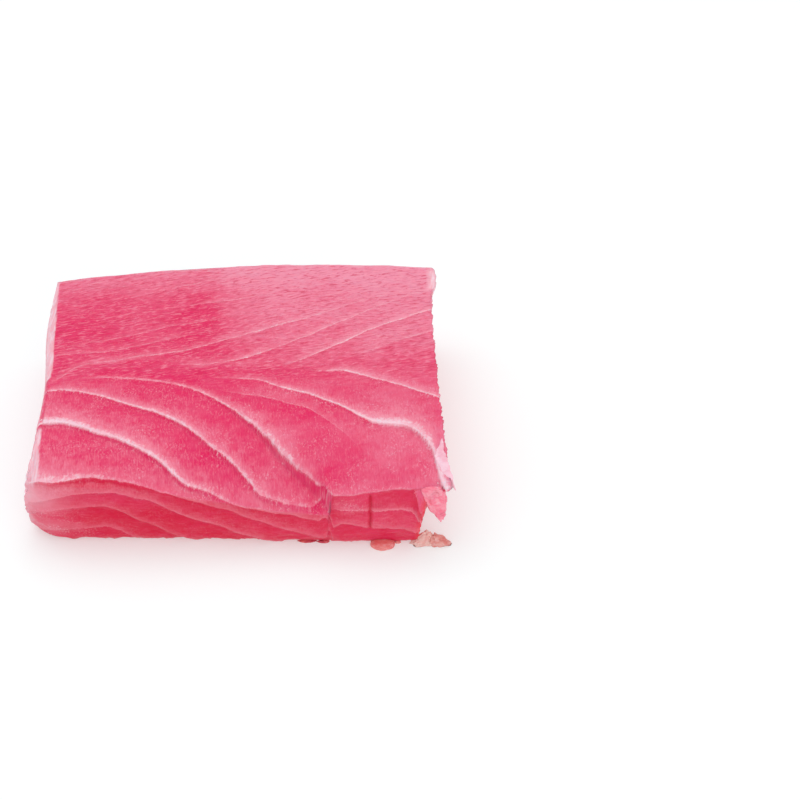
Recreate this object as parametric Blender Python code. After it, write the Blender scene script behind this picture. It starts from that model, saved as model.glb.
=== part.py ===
"""Raw tuna steak: one thick block cut from the loin, lying on its flat underside.

The block is a box cut into a fine cage, whose points are moved onto the form: a plan that
widens towards the front, a top that is level at the back and rolls down over the front, cut
ends that lean, and the overlapping flakes of the loin, each of which rises gently to its lip
and steps down to the next. The design is in millimetres, the mesh in metres.
+X is right, +Y is back and +Z is up.
"""

import bmesh
import bpy
import numpy as np

MM = 0.001

# --- driving dimensions, in millimetres -------------------------------------------------
WIDTH = 108.4          # between the cut ends, along the back of the top
BACK_LEFT = 37.8       # depth of the back edge at the left end, from the middle
BACK_RIGHT = 44.8      # and at the right end
BACK_BOW = 1.6         # how far the back edge bows out between them
FRONT = 41.0           # depth of the foot of the front face, from the middle
HEIGHT = 29.8          # of the top along its back edge
CROWN = 2.0            # extra height in the middle of the back edge
SAG = 0.8              # how much lower the top lies where the roll starts

FRONT_SPREAD = 4.8     # how far the right cut end swings out towards the front
WAIST = 3.6            # how far the left cut end swings in, short of its front corner
WAIST_AT = -23.0       # depth of that waist
WAIST_SPAN = 30.0      # half its breadth
CORNER_SWING = 1.6     # how far the front left corner swings out again
LEFT_LEAN = 3.0        # how far the left cut end leans out at its foot
LEFT_BULGES = ((20.0, 13.0, 1.2), (-25.0, 12.0, 2.0))  # depth, half breadth, swelling
RIGHT_LEAN = 6.0       # how far the right cut end is undercut at its foot
CORNER = 9.0           # radius of the front left corner, in plan
CORNER_LIFT = 3.5      # how far that corner curls up off the board
FOOT_ROUND = 1.3       # rounding where the sides meet the underside
BACK_ROUND = 0.8       # rounding of the back edge of the top

FRONT_SKEW = 1.2       # how much further forward the foot stands at the right end
FRONT_OVERHANG = 2.2   # how far the lip stands out over the foot of the front face
FRONT_BELLY = 1.4      # how far the front face swells halfway up

CREST_LEFT = 21.0      # height of the lip over the front face, at the left end
CREST_MIDDLE = 12.5    # where the flakes hang lowest
CREST_RIGHT = 18.5     # and on the thick flake at the right
CREST_FALL = (-34.0, 22.0)     # where along X the lip starts and stops to fall
ROLL_LEFT = 26.0       # length of the roll down to the front, at the left end
ROLL_MIDDLE = 35.0     # where the flakes hang lowest
ROLL_RIGHT = 27.0      # and on the thick flake
CLIFF = 0.33           # share of the thick flake's height that is a sheer edge
CLIFF_REACH = 5.0      # how soon it has its full height behind that edge

# Lips of the overlapping flakes on the top, as points (x, y) that each runs through.
RIGHT_FLAKE = ((22.0, -3.0), (38.0, -7.0), (58.0, -16.0))
FRINGE_FLAKE = ((2.0, -6.0), (14.0, -11.0), (30.0, -18.5), (44.0, -25.0), (52.0, -30.0),
                (59.0, -42.0))
THICK_FLAKE = ((-38.0, -6.0), (-18.0, -8.5), (-4.0, -16.0), (8.0, -24.0), (16.0, -32.5),
               (26.0, -39.5), (32.0, -48.0), (44.0, -70.0))
THIRD_FLAKE = ((-52.0, -12.0), (-37.0, -14.0), (-18.0, -22.0), (-7.0, -28.0), (1.0, -34.0),
               (8.0, -40.0), (20.0, -44.0))
SECOND_FLAKE = ((-53.0, -24.0), (-37.0, -26.0), (-22.0, -32.0), (-14.0, -38.0), (2.0, -43.0))
# Each lip with its step down at the left and right end, and how far back it swells.
TOP_FLAKES = (
    (RIGHT_FLAKE, 0.1, 0.5, 6.0),
    (FRINGE_FLAKE, 0.2, 1.1, 7.0),
    (THICK_FLAKE, 0.1, 1.2, 9.0),
    (THIRD_FLAKE, 0.4, 1.3, 7.0),
    (SECOND_FLAKE, 0.9, 1.1, 7.0),
)
# Layers of the front face, from the top down: points (x, z), and the overhang at the left
# and right end. A negative overhang is a ledge, where the layer below stands out.
FRONT_LAYERS = (
    (((28.0, 12.5), (38.0, 13.0), (50.0, 13.5)), -0.9, -0.9),
    (((8.0, 12.5), (16.0, 10.5), (30.0, 8.5), (50.0, 8.0)), 0.5, 0.6),
    (((-22.0, 20.0), (-9.0, 16.0), (5.0, 11.0), (14.0, 8.0), (28.0, 2.5)), 0.6, 0.6),
    (((-53.0, 16.0), (-38.0, 19.0), (-22.0, 17.5), (-14.0, 13.5), (0.0, 7.5), (14.0, 3.0)),
     0.9, 0.5),
    (((-51.0, 12.0), (-38.0, 15.5), (-29.0, 13.0), (-19.0, 7.0), (-10.0, 1.0)), 0.9, 0.6),
)
STEP = 2.2             # breadth of each step
LAYER_REACH = 3.0      # how far up a front layer swells
LIP_FADE = 6.0         # length over which a lip fades out at its ends

# Cuts of the cage along X, Y and Z, and how much the rows crowd towards the front.
CUTS = (43, 35, 11)
CROWDING = 0.22

FLESH_COLOR = (0.78, 0.09, 0.19, 1.0)
FLESH_ROUGHNESS = 0.35


def smooth(t):
    """Ease from 0 to 1 as t goes from 0 to 1."""
    t = np.clip(t, 0.0, 1.0)
    return t * t * (3.0 - 2.0 * t)


def hump(t):
    """A bell of height 1 about t = 0."""
    return np.exp(-t * t)


def through(points, x):
    """Values at x of a smooth line through the points, held level beyond its ends."""
    at = np.array([point[0] for point in points])
    value = np.array([point[1] for point in points])
    slope = np.gradient(value, at)
    x = np.clip(x, at[0], at[-1])
    n = np.clip(np.searchsorted(at, x) - 1, 0, len(at) - 2)
    span = at[n + 1] - at[n]
    t = (x - at[n]) / span
    start = (1.0 + 2.0 * t) * (1.0 - t) ** 2 * value[n] + t * (1.0 - t) ** 2 * span * slope[n]
    end = t * t * (3.0 - 2.0 * t) * value[n + 1] + t * t * (t - 1.0) * span * slope[n + 1]
    return start + end


# --- outline ----------------------------------------------------------------------------

def back_line(across):
    """Depth of the back edge; across runs from -1 at the left end to 1 at the right."""
    straight = BACK_LEFT + (BACK_RIGHT - BACK_LEFT) * (across + 1.0) / 2.0
    return straight + BACK_BOW * (1.0 - across ** 2)


def left_end(y, up):
    """X of the left cut end at depth y; up runs from 0 at the foot to 1 at the top."""
    waist = WAIST * hump((y - WAIST_AT) / WAIST_SPAN)
    top = -WIDTH / 2.0 + waist - CORNER_SWING * smooth((-y - 28.0) / 14.0)
    lean = LEFT_LEAN + sum(swell * hump((y - at) / half) for at, half, swell in LEFT_BULGES)
    return top - lean * np.sqrt(np.clip(1.0 - up ** 2.2, 0.0, 1.0))


def right_end(y, up):
    """X of the right cut end at depth y."""
    swing = np.clip((BACK_RIGHT - y) / (BACK_RIGHT + FRONT + 6.0), 0.0, 1.0)
    return WIDTH / 2.0 + FRONT_SPREAD * swing ** 2.2 - RIGHT_LEAN * (1.0 - up) ** 1.2


def front_line(x, up):
    """Depth of the front face at x; up runs from 0 at the foot to 1 at the lip."""
    foot = -FRONT - FRONT_SKEW * smooth((x + 20.0) / 60.0)
    face = foot - FRONT_OVERHANG * up ** 1.5 - FRONT_BELLY * np.sin(np.pi * up)
    inward = np.clip(1.0 - (x - left_end(-FRONT, up)) / CORNER, 0.0, 1.0)
    return face + CORNER * (1.0 - np.sqrt(1.0 - inward ** 2)) * (1.0 - 0.45 * up)


# --- top and front ----------------------------------------------------------------------

def rolled(back, crest, length, ahead):
    """Height of a top that leaves back for crest over length; ahead is what is left of it."""
    return back - (back - crest) * np.clip(1.0 - ahead / length, 0.0, 1.0) ** 2.4


def top_height(x, y, front):
    """Height of the top at (x, y), where the front face stands at depth front."""
    back = HEIGHT + CROWN * (1.0 - (2.0 * x / WIDTH) ** 2) * smooth((y + 10.0) / 50.0)
    back = back - SAG * smooth((12.0 - y) / 40.0)
    start, stop = CREST_FALL
    fall = smooth((x - start) / (stop - start))
    crest = CREST_LEFT + (CREST_MIDDLE - CREST_LEFT) * fall
    length = ROLL_LEFT + (ROLL_MIDDLE - ROLL_LEFT) * fall
    low = rolled(back, crest, length, y - front)
    high = rolled(back, CREST_RIGHT, ROLL_RIGHT, y - front)
    behind = y - through(THICK_FLAKE, x)
    share = 1.0 - (1.0 - CLIFF) * np.exp(-np.maximum(behind, 0.0) / CLIFF_REACH)
    share = np.where(behind > 0.0, share, CLIFF * smooth(1.0 + behind / STEP))
    return low + (high - low) * share


def along(points, x):
    """How far along a lip x is, from 0 to 1, and how much of the lip is there."""
    first, last = points[0][0], points[-1][0]
    fade = smooth((x - first) / LIP_FADE + 1.0) * smooth((last - x) / LIP_FADE + 1.0)
    return np.clip((x - first) / (last - first), 0.0, 1.0), fade


def swelling(beyond, reach):
    """Full height at a lip, easing away over the reach behind it, with a step in front."""
    behind = np.maximum(beyond, 0.0) / reach
    return np.where(beyond > 0.0, np.exp(-behind ** 1.3), smooth(1.0 + beyond / STEP))


def top_relief(x, y):
    """Height that the overlapping flakes add to the top."""
    height = np.zeros_like(x)
    for points, left, right, reach in TOP_FLAKES:
        run, fade = along(points, x)
        step = left + (right - left) * run
        height += step * fade * swelling(y - through(points, x), reach)
    return height


def front_relief(x, z):
    """How far the layers of the front face stand out."""
    out = np.zeros_like(x)
    for points, left, right in FRONT_LAYERS:
        run, fade = along(points, x)
        step = left + (right - left) * run
        above = z - through(points, x)
        out += np.abs(step) * fade * swelling(np.sign(step) * above, LAYER_REACH)
    return out


# --- the solid --------------------------------------------------------------------------

def cage():
    """A unit box cut into an even grid on every side."""
    mesh = bmesh.new()
    bmesh.ops.create_cube(mesh, size=1.0)
    for axis, cuts in enumerate(CUTS):
        across = [edge for edge in mesh.edges
                  if abs(edge.verts[0].co[axis] - edge.verts[1].co[axis]) > 0.5]
        bmesh.ops.subdivide_edges(mesh, edges=across, cuts=cuts)
    return mesh


def shape_points(points):
    """Moves the points of the unit cage onto the steak, in millimetres."""
    across = 2.0 * points[:, 0]
    deep = 2.0 * points[:, 1]
    up = points[:, 2] + 0.5
    deep = deep - CROWDING * (1.0 - deep ** 2)
    x = across * WIDTH / 2.0
    # the ends depend on the depth and the front on the width, so the two settle in turns
    for _ in range(3):
        front = front_line(x, up)
        y = front + (back_line(across) - front) * (deep + 1.0) / 2.0
        left = left_end(y, up)
        x = left + (right_end(y, up) - left) * (across + 1.0) / 2.0
    top = top_height(x, y, front_line(x, np.ones_like(up))) + top_relief(x, y)
    back_edge = np.clip(1.0 - (back_line(across) - y) / (3.0 * BACK_ROUND), 0.0, 1.0)
    z = up * (top - BACK_ROUND * back_edge ** 2)
    y = y - front_relief(x, z) * np.clip(1.0 - (y - front) / LAYER_REACH, 0.0, 1.0)
    corner = hump((x + WIDTH / 2.0 + 5.0) / CORNER) * hump((y + FRONT) / (1.5 * CORNER))
    z = z + CORNER_LIFT * corner * (1.0 - up) ** 1.5
    foot = np.clip(1.0 - z / (2.0 * FOOT_ROUND), 0.0, 1.0) ** 2
    x = x * (1.0 - foot * FOOT_ROUND / (WIDTH / 2.0))
    y = y * (1.0 - foot * FOOT_ROUND / FRONT)
    return np.stack([x, y, z], axis=1)


def tuna_steak():
    """The block, centred over its base."""
    mesh = cage()
    points = shape_points(np.array([vert.co[:] for vert in mesh.verts]))
    points[:, :2] -= (points[:, :2].min(axis=0) + points[:, :2].max(axis=0)) / 2.0
    for vert, place in zip(mesh.verts, points):
        vert.co = place * MM
    flat = [face for face in mesh.faces if max(vert.co.z for vert in face.verts) < 0.01 * MM]
    bmesh.ops.dissolve_faces(mesh, faces=flat, use_verts=True)
    bmesh.ops.recalc_face_normals(mesh, faces=mesh.faces)
    steak = bpy.data.meshes.new("tuna_steak")
    mesh.to_mesh(steak)
    mesh.free()
    steak.shade_smooth()
    return bpy.data.objects.new("tuna_steak", steak)


def flesh():
    material = bpy.data.materials.new("flesh")
    material.use_nodes = True
    shader = material.node_tree.nodes["Principled BSDF"]
    shader.inputs["Base Color"].default_value = FLESH_COLOR
    shader.inputs["Roughness"].default_value = FLESH_ROUGHNESS
    shader.inputs["Metallic"].default_value = 0.0
    return material


def main():
    for old in list(bpy.data.objects):
        bpy.data.objects.remove(old, do_unlink=True)
    parts = bpy.data.collections.new("raw_tuna_steak")
    bpy.context.scene.collection.children.link(parts)
    steak = tuna_steak()
    steak.data.materials.append(flesh())
    parts.objects.link(steak)


if __name__ == "__main__":
    main()
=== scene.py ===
"""Raw tuna steak: the looks.

One thick block of raw tuna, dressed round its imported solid. The flesh is the same form as
the solid at a finer grain, with its flakes, the white sheets between them and its torn
edges. Small torn pieces hang at its right front corner. A plain studio stands round it.
Run as a script it builds everything; its panel in the sidebar lists the steps.
+X is right, +Y is back and +Z is up. The design is in millimetres, the meshes in metres.
"""

import math
from functools import partial, reduce
from types import SimpleNamespace

import bmesh
import bpy
import numpy as np
from bpy.props import FloatProperty, FloatVectorProperty, IntProperty, PointerProperty
from mathutils import Matrix, Vector, noise


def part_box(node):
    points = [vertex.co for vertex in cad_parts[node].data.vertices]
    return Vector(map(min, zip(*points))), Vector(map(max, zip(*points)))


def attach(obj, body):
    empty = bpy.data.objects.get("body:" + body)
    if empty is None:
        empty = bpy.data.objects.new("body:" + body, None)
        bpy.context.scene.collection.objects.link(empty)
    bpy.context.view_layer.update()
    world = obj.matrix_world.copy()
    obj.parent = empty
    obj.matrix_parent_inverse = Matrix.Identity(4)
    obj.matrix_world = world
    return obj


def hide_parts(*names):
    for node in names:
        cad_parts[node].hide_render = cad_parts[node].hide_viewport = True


bl_info = {
    "name": "Raw tuna steak",
    "version": (1, 0, 0),
    "blender": (4, 5, 0),
    "location": "View3D > Sidebar > Tuna",
    "description": "Builds a block of raw tuna with flakes, sinews and torn edges",
    "category": "Object",
}

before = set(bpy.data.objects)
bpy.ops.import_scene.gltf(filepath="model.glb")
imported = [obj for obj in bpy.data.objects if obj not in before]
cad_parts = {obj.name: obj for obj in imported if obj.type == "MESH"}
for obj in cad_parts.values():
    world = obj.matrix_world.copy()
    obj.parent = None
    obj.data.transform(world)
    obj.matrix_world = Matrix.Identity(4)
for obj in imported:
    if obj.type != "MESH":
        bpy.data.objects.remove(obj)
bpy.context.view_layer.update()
BLOCK_LOW, BLOCK_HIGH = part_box("tuna_steak")
BLOCK_SIZE = BLOCK_HIGH - BLOCK_LOW

MM = 0.001

# --- the block's form, in millimetres; depths are along Y ---
WIDTH = 108.4          # between the cut ends, along the back of the top
BACK_LEFT = 37.8       # depth of the back edge at the left end, from the middle
BACK_RIGHT = 44.8      # and at the right end
BACK_BOW = 1.6         # how far the back edge bows out between them
FRONT = 41.0           # depth of the foot of the front face, from the middle
HEIGHT = 29.8          # of the top along its back edge
CROWN = 2.0            # extra height in the middle of the back edge
CROWN_OVER = (-10.0, 40.0)     # depths over which it rises
SAG = 0.8              # how much lower the top lies where the roll starts
SAG_OVER = (12.0, -28.0)       # depths over which it falls

FRONT_SPREAD = 4.8     # how far the right cut end swings out towards the front
SPREAD_BEYOND = 6.0    # how far in front of the foot that swing would end
WAIST = 3.6            # how far the left cut end swings in, short of its front corner
WAIST_AT = -23.0       # depth of that waist
WAIST_SPAN = 30.0      # half its breadth
CORNER_SWING = 1.6     # how far the front left corner swings out again
SWING_OVER = (-28.0, -42.0)    # depths over which it does
LEFT_LEAN = 2.5        # how far the left cut end leans out at its foot
LEFT_BULGES = ((20.0, 13.0, 1.2), (-25.0, 12.0, 2.0))  # depth, half breadth, swelling
RIGHT_LEAN = 6.0       # how far the right cut end is undercut at its foot
CORNER = 9.0           # radius of the front left corner, in plan
CORNER_LIFT = 4.6      # how far that corner curls up off the board
FOOT_ROUND = 1.3       # rounding where the sides meet the underside
BACK_ROUND = 0.8       # rounding of the back edge of the top

FRONT_SKEW = 1.2       # how much further forward the foot stands at the right end
SKEW_OVER = (-20.0, 40.0)      # along X, where it comes forward
FRONT_OVERHANG = 2.2   # how far the lip stands out over the foot of the front face
FRONT_BELLY = 1.4      # how far the front face swells halfway up

CREST_LEFT = 21.0      # height of the lip over the front face, at the left end
CREST_MIDDLE = 12.5    # where the flakes hang lowest
CREST_RIGHT = 19.5     # and on the thick flake at the right
CREST_CLIMB = 1.9      # how much higher that one stands at its right end
CLIMB_OVER = (28.0, 48.0)      # along X, where it climbs
CREST_FALL = (-34.0, 22.0)     # where along X the lip starts and stops to fall
ROLL_LEFT = 26.0       # length of the roll down to the front, at the left end
ROLL_MIDDLE = 35.0     # where the flakes hang lowest
ROLL_RIGHT = 27.0      # and on the thick flake
CLIFF = 0.33           # share of the thick flake's height that is a sheer edge
CLIFF_RIGHT = 0.9      # and where that edge stands over the front face
CLIFF_TURN = (23.0, 28.0)      # along X, where it gets there
LEDGE_FROM = 0.6       # how far below the thick flake's edge its ledge starts
LEDGE = 0.85           # how little the flakes pass on down that ledge
LEDGE_SHARE = 0.72     # and how long it is, as a share of that flake's height
CLIFF_REACH = 4.0      # how soon it has its full height behind that edge
CLIFF_LEAVES = (26.4, -42.9, 1.2)  # X and depth from which that edge runs on, and its slope
LIP_JOINS = (30.0, 44.0)       # along X, where the front face takes in its height
STEP = 0.8             # breadth of the step down at a flake's lip
MIDDLE = (0.4, -0.4)   # middle of the block's plan, from where its form is measured
FORM_SIZE = (116.7, 90.3, 31.8)  # size of this form

# --- septa, the thin white sheets between the flakes ---
# Listed from the back to the front. A septum shows where its line (x, depth) runs: depth is
# measured over the top and goes on down the front face, as if that face were unrolled. Along
# x, it is as white (0 to 1) and as thick (mm) as these say, the flesh in front of it is shaded
# for as far as its shade says (mm), and the flake behind it steps down by its step (mm) and
# swells up to its lip over its reach. A negative step is a ledge in front of it instead.
SEPTA = (
    {"line": ((-60, 18), (-34, 27.5), (-22, 31.5), (1, 38), (25, 44), (60, 52)),
     "white": ((-40, 0.0), (-30, 0.14), (0, 0.16), (60, 0.1)), "thick": ((-60, 0.15),)},
    {"line": ((-60, 11), (-34, 19), (-13, 24.5), (-2, 26.5), (16, 32), (60, 48)),
     "white": ((-50, 0.0), (-14, 0.1), (-10, 0.35), (-2, 0.25), (12, 0.12), (60, 0.12)),
     "thick": ((-60, 0.15),)},
    {"line": ((-60, 4), (-32, 10.5), (-17, 15.5), (-9, 17), (16, 26), (60, 44)),
     "white": ((-60, 0.06), (-32, 0.2), (-12, 0.25), (0, 0.08), (60, 0.12)),
     "thick": ((-60, 0.15),)},
    {"line": ((-60, 0), (-51, 2.5), (-35, 4.5), (-24, 8), (-11, 12), (16, 22), (60, 41)),
     "white": ((-60, 0.2), (-45, 0.3), (-24, 0.25), (-11, 0.12), (10, 0.08), (60, 0.12)),
     "thick": ((-60, 0.16),)},
    {"line": ((-60, -12.5), (-51, -9.5), (-46, -3.7), (-33, 0.8), (-21, 3.3), (-14, 5),
              (-2, 10), (5, 13), (17, 18), (31, 25), (60, 38.5)),
     "white": ((-56, 0.1), (-46, 0.35), (-33, 0.45), (-14, 0.5), (0, 0.4), (5, 0.75),
               (15, 0.6), (24, 0.25), (60, 0.1)),
     "thick": ((-60, 0.2), (0, 0.2), (6, 0.26), (20, 0.2), (60, 0.16))},
    {"line": ((-60, -12.8), (-51, -9.8), (-46, -4.4), (-33, 0.0), (-20, 0.0), (-13, -1),
              (1, 1.2), (7, 4), (17, 10), (28, 17), (40, 25), (54, 34), (60, 36.5)),
     "white": ((-15, 0.0), (-12, 0.45), (-4, 0.25), (1, 0.8), (6, 0.8), (10, 0.35),
               (16, 0.5), (28, 0.6), (38, 0.25), (60, 0.15)),
     "thick": ((-60, 0.2), (3, 0.24), (10, 0.18), (60, 0.2))},
    {"line": ((-60, -13.1), (-51, -10.1), (-46, -5), (-33, -1.2), (-13, -2.4), (0, -2.2),
              (13, -1), (21, 3.2), (30, 9), (40, 16), (53, 23), (60, 26.5)),
     "white": ((10, 0.0), (15, 0.4), (24, 0.75), (30, 1.0), (40, 0.85), (60, 0.8)),
     "thick": ((-60, 0.2), (25, 0.2), (30, 0.32), (36, 0.22), (60, 0.24))},
    {"line": ((-60, -13.4), (-51, -10.4), (-46, -5.6), (-33, -2.4), (-13, -3.7), (13, -3.2),
              (24, -1), (37, 5), (46, 10), (54, 14), (60, 16.5)),
     "white": ((33, 0.0), (38, 0.3), (60, 0.35)), "thick": ((-60, 0.16),)},
    {"line": ((-60, -13.7), (-51, -10.7), (-46, -6.2), (-33, -3.6), (-13, -5), (0, -5.2),
              (13, -4.8), (24, -3.8), (29, -3.6), (38, -7), (47, -11), (56, -15), (60, -17)),
     "white": ((20, 0.0), (25, 0.5), (30, 1.0), (40, 0.85), (56, 1.0)),
     "thick": ((20, 0.2), (30, 0.3), (42, 0.26), (58, 0.34)),
     "step": ((20, 0.0), (34, 0.15), (58, 0.3)), "reach": 6.0},
    {"line": ((-60, -14.0), (-51, -11.0), (-46, -6.8), (-33, -4.8), (-13, -6.4), (1, -7),
              (7, -8), (13, -11), (22, -14.5), (29, -18.4), (35, -22.7), (38, -24.6), (44, -25.7),
              (47, -26.6), (49.4, -28.4), (51.1, -30), (52.6, -31.8), (53.8, -34),
              (54.4, -36.5), (55, -39), (55.7, -41.4), (57, -44.5), (60, -52)),
     "white": ((-6, 0.0), (0, 0.3), (8, 0.6), (14, 1.0), (30, 1.0), (38, 1.1), (43, 1.15),
               (47, 0.95), (52, 0.85), (57, 1.15)),
     "thick": ((0, 0.25), (30, 0.35), (36, 1.0), (42, 2.4), (48, 3.0), (52, 3.6), (58, 4.6)),
     "step": ((-4, 0.0), (14, 0.25), (36, 0.6), (48, 1.0), (58, 1.0)), "reach": 7.0},
    {"line": ((-60, -14.3), (-51, -11.3), (-46, -7.4), (-33, -6), (-13, -9), (0, -13),
              (9, -15), (16, -18), (20, -19.3), (25, -23), (29, -27), (36, -34), (60, -52)),
     "white": ((-6, 0.0), (2, 0.3), (20, 0.35), (28, 0.2), (34, 0.0)),
     "thick": ((-60, 0.16),)},
    {"line": ((-60, -14.6), (-51, -11.6), (-46, -8), (-39, -7), (-30, -7.4), (-18, -9.4),
              (-12, -11.6), (-4, -16.8), (1.5, -21.3), (5.2, -24.5), (8.2, -27.1),
              (10.8, -29.9), (13.2, -32.6), (16, -35), (18.9, -37.2), (22, -39.2), (24.6, -41.1),
              (26.4, -42.8), (27.6, -43.8), (28.6, -44.1), (30, -44.2), (47.4, -44.2),
              (48.6, -44.3), (50, -45.6), (51, -49), (51.6, -53.5), (60, -72)),
     "white": ((-44, 0.0), (-38, 0.3), (-20, 0.45), (-10, 0.75), (5, 0.88), (14, 0.88),
               (20, 0.55), (25, 0.25), (60, 0.2)),
     "thick": ((-44, 0.2), (0, 0.4), (5, 1.0), (8, 1.5), (13, 2.0), (17, 1.8), (20, 1.2),
               (28, 0.5)),
     "shade": ((0, 1.8), (18, 1.8), (23, 3.0), (50, 3.6)),
     "step": ((-38, 0.0), (-10, 0.4), (8, 1.0), (16, 1.4), (26, 1.2), (30, 0.6)), "reach": 8.0},
    {"line": ((-60, -15.2), (-51, -12.6), (-43.5, -13), (-37, -14.5), (-31, -17),
              (-25.5, -19.7), (-20, -21.7), (-14, -24.8), (-8.5, -29), (-4, -32.2),
              (0, -34.6), (5, -38.9), (7.5, -41), (10, -41.6), (14, -42.1), (21, -42.9),
              (26, -43.3), (26.6, -45.1), (28, -45.25), (31, -45.3), (35, -45.65), (39, -46),
              (43, -45.95), (47, -46.1), (49, -47), (50.5, -50.5), (60, -74)),
     "white": ((-60, 0.6), (-45, 0.75), (-30, 0.95), (-12, 0.95), (-5, 0.8), (3, 0.75), (8, 0.8),
               (12, 0.4), (21, 0.3), (25, 0.2), (27, 0.1), (30, 0.3), (60, 0.3)),
     "thick": ((-60, 0.25), (-37, 0.35), (-20, 0.7), (-4, 0.8), (4, 1.1), (8, 1.5),
               (13, 0.6), (60, 0.3)),
     "shade": ((20, 1.8), (32, 1.6)),
     "step": ((-60, 0.3), (-30, 0.5), (-5, 1.0), (12, 1.0), (26, 0.3), (30, -0.8),
              (60, -0.8)), "reach": 6.5},
    {"line": ((-60, -25.3), (-50.5, -25), (-45, -25.3), (-41, -26.6), (-35.5, -28.6),
              (-30, -30.7), (-25.5, -32.8), (-20.5, -35.2), (-17, -37.6), (-14.8, -39.2),
              (-13.2, -40.1), (-7, -41.3), (-2.5, -42.5), (3, -43.6), (10, -44.3),
              (17, -44.9), (23, -46.2), (26.5, -48.2), (27, -51), (28, -51.1), (29, -50.2),
              (31.3, -50.2), (35, -51.4), (39, -52.2), (43, -52.4), (47, -52.5), (48.5, -53),
              (60, -77)),
     "white": ((-60, 1.1), (-48, 1.15), (-35, 1.0), (-15, 1.0), (-8, 0.75), (-2, 0.4),
               (12, 0.25), (60, 0.2)),
     "thick": ((-60, 1.6), (-50, 2.0), (-43, 1.8), (-36, 1.3), (-25, 1.1), (-14, 1.2),
               (-6, 0.6), (60, 0.25)),
     "step": ((-60, 0.8), (-35, 0.9), (-15, 1.1), (0, 0.7), (60, 0.5)), "reach": 6.5},
    {"line": ((-60, -40), (-51.5, -40.8), (-46, -41.7), (-41, -41.1), (-36.5, -40.8),
              (-31, -41.4), (-24.5, -42), (-20, -42.5), (-16, -43.1), (-9.5, -44),
              (-3, -45.2), (5, -47.4), (11, -49.2), (17.5, -50.8), (24.5, -52.8), (26.5, -53.7),
              (27, -57.2), (28, -58.6), (30, -58.6), (34, -61.5), (60, -84)),
     "white": ((-60, 1.1), (-50, 0.95), (-44, 0.8), (-38, 0.55), (-30, 0.35), (-10, 0.2),
               (20, 0.2), (40, 0.1)),
     "thick": ((-60, 2.2), (-46, 1.7), (-36, 1.1), (-30, 0.7), (-15, 0.3), (60, 0.2)),
     "step": ((-60, 0.5), (-20, 0.7), (20, 0.5), (34, 0.3)), "reach": 5.0},
    {"line": ((-60, -50), (-54, -48.8), (-48.5, -47.2), (-43.5, -45.7), (-36.5, -44.6),
              (-28, -45), (-22, -46), (-17, -48.1), (-12, -49.6), (-5, -51.2),
              (1, -53), (8, -54.4), (30, -68), (60, -92)),
     "white": ((-60, 0.2), (-38, 0.25), (-10, 0.25), (14, 0.2), (24, 0.1)),
     "thick": ((-60, 0.25),),
     "step": ((-60, 0.4), (-38, 0.7), (-14, 0.8), (14, 0.6), (24, 0.3)), "reach": 3.5},
    {"line": ((-60, -53), (-48, -51.3), (-43, -50.2), (-38.5, -49.5), (-31, -50.1),
              (-28, -51.6), (-23, -53.9), (-17.7, -56.2), (-12.5, -57.6), (-6, -61),
              (60, -100)),
     "white": ((-60, 0.1), (-35, 0.2), (-18, 0.15), (-12, 0.1)), "thick": ((-60, 0.2),),
     "shade": ((-46, 0.6), (-38, 4.0), (-20, 4.0), (-12, 0.8)),
     "step": ((-60, 0.4), (-35, 0.9), (-18, 0.8), (-10, 0.3)), "reach": 3.5},
)
# Patches of deeper or paler flesh: (x, depth, half breadth, half depth, change of paleness).
PATCHES = ((-10, 19, 8, 9, -0.34), (-44, 22, 12, 10, -0.08), (-20, -11, 10, 6, -0.28),
           (20, -21, 9, 5, -0.16), (-5, 6, 8, 5, -0.08), (40, -34, 10, 6, 0.08),
           (46, -15, 10, 8, 0.12), (12, 20, 8, 8, 0.08), (48, -32, 7, 7, 0.12),
           (59, -35, 4, 9, 0.45), (-50, -47, 8, 5, 0.25), (-28, -54, 14, 4, -0.35),
           (-31, -46.5, 12, 2.5, 0.5), (11, -50, 12, 3, 0.12), (42, -50, 16, 7, 0.3),
           (16, -30, 5, 4, 0.3), (24, -41.5, 4, 2, -0.25), (33, -45, 6, 0.6, 0.5),
           (-39, -33, 9, 4, -0.1), (-50, -54, 9, 6, 0.5))
THICK_FLAKE = 11       # number of the septum at the thick flake's edge
OUTER_GAP = 8.0        # spacing of the flakes beyond the first and the last septum
LEAST_GAP = 0.25       # septa that run together keep this far apart
WOBBLE = 0.14          # how far a septum strays from its smooth line
# How steeply the septa cross the sides in the middle, and how that changes between two depths:
# down and back at the front, up at the back.
LEAN = 0.35
LEAN_CHANGES = ((0.65, -24.0, -36.0), (-1.35, 28.0, 38.0))
LEAST_LEAN = 0.1       # the least that counts in how fast the flakes pass there

# --- torn pieces, in the form's own millimetres ---
# Share of the fringe's length, depth, X of its inner and of its outer edge, and how far it
# lies above the top.
FRINGE = ((0.0, -30.5, 56.2, 56.9, -0.1), (0.2, -34.3, 54.9, 57.2, 0.2),
          (0.4, -36.3, 54.7, 57.6, 0.3), (0.55, -37.9, 54.6, 58.3, 0.3),
          (0.7, -39.4, 55.7, 58.8, 0.25), (0.82, -41.0, 56.6, 59.1, 0.1),
          (0.92, -42.3, 57.6, 59.4, -0.4), (1.0, -43.8, 58.8, 59.9, -1.8))
# Side of the block (1 right, -1 left), and the depths between which fibres stand out.
FIBRE_RUNS = ((1, -44.0, 33.0), (-1, -42.0, -22.0), (-1, 12.0, 32.0))
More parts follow.
